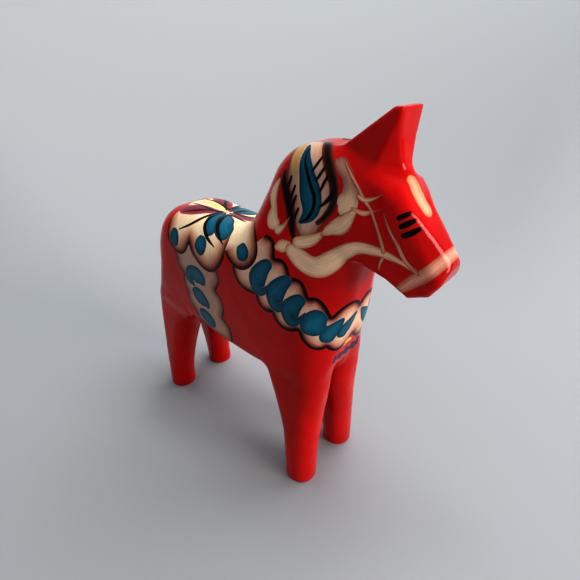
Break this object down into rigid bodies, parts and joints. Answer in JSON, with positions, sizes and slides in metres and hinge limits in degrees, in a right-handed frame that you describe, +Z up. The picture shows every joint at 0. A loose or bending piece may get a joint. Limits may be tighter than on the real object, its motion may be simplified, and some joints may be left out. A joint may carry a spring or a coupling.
{
  "type": "carved wooden toy horse",
  "caption": "Dala horse: a standing toy horse sawn and whittled from one pine block, lacquered red, with brush-painted harness and garlands.",
  "frame": {"origin": "middle of the bounding box, on the surface the feet stand on", "axes": "+X the way the horse faces, +Y its left side, +Z up"},
  "size_m": [0.1676, 0.0476, 0.1786],
  "materials": {
    "lacquered_pine": "glossy lacquer",
    "label_film": "gloss"
  },
  "bodies": {
    "root": {"carved_body": "lacquered_pine", "breast_label": "label_film"}
  },
  "joints": []
}
